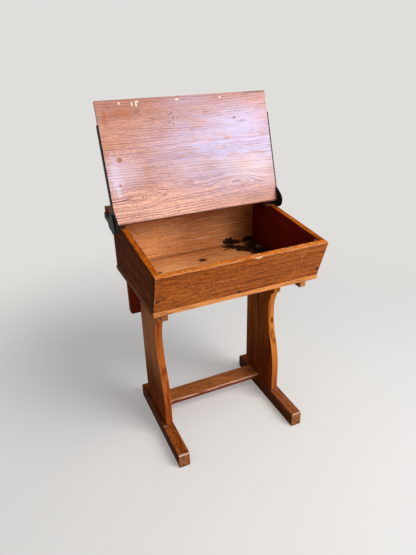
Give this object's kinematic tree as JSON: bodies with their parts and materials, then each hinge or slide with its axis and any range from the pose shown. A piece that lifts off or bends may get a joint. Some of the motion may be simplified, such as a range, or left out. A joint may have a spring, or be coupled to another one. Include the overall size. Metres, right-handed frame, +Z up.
{
  "type": "school desk with lift lid",
  "caption": "School desk: sloping book box with a lift lid on cast iron hinges, on two shaped uprights with floor runners, a stretcher and a rear rail.",
  "frame": {"origin": "on the floor, under the middle of the desk's overall box with the lid open", "axes": "+Z up; +Y to the rear, away from the sitter; +X to the sitter's right, along the hinge line"},
  "size_m": [0.602, 0.4666, 1.1131],
  "materials": {
    "lid_wood": "glossy old varnish",
    "box_wood": "worn varnish",
    "bottom_wood": "worn varnish",
    "leg_wood": "worn varnish",
    "runner_wood": "worn varnish",
    "iron": "old black paint"
  },
  "bodies": {
    "desk": {"front_board": "box_wood", "left_side": "box_wood", "right_side": "box_wood", "rear_board": "box_wood", "bottom_board": "bottom_wood", "rear_ledge": "lid_wood", "left_leg": "leg_wood", "right_leg": "leg_wood", "left_foot": "runner_wood", "right_foot": "runner_wood", "stretcher": "runner_wood", "rear_rail": "leg_wood", "left_cleat": "leg_wood", "right_cleat": "leg_wood", "left_hinge_bracket": "iron", "right_hinge_bracket": "iron", "left_pivot": "iron", "right_pivot": "iron", "bracket_screws": "iron"},
    "lid": {"lid": "lid_wood", "left_lid_arm": "iron", "right_lid_arm": "iron", "arm_screws": "iron"}
  },
  "joints": [
    {"name": "lid_hinge", "type": "hinge", "parent": "desk", "child": "lid", "pos_m": [0, 0.10364, 0.76829], "axis": [1, 0, 0], "range_deg": [0, 113.5]}
  ]
}
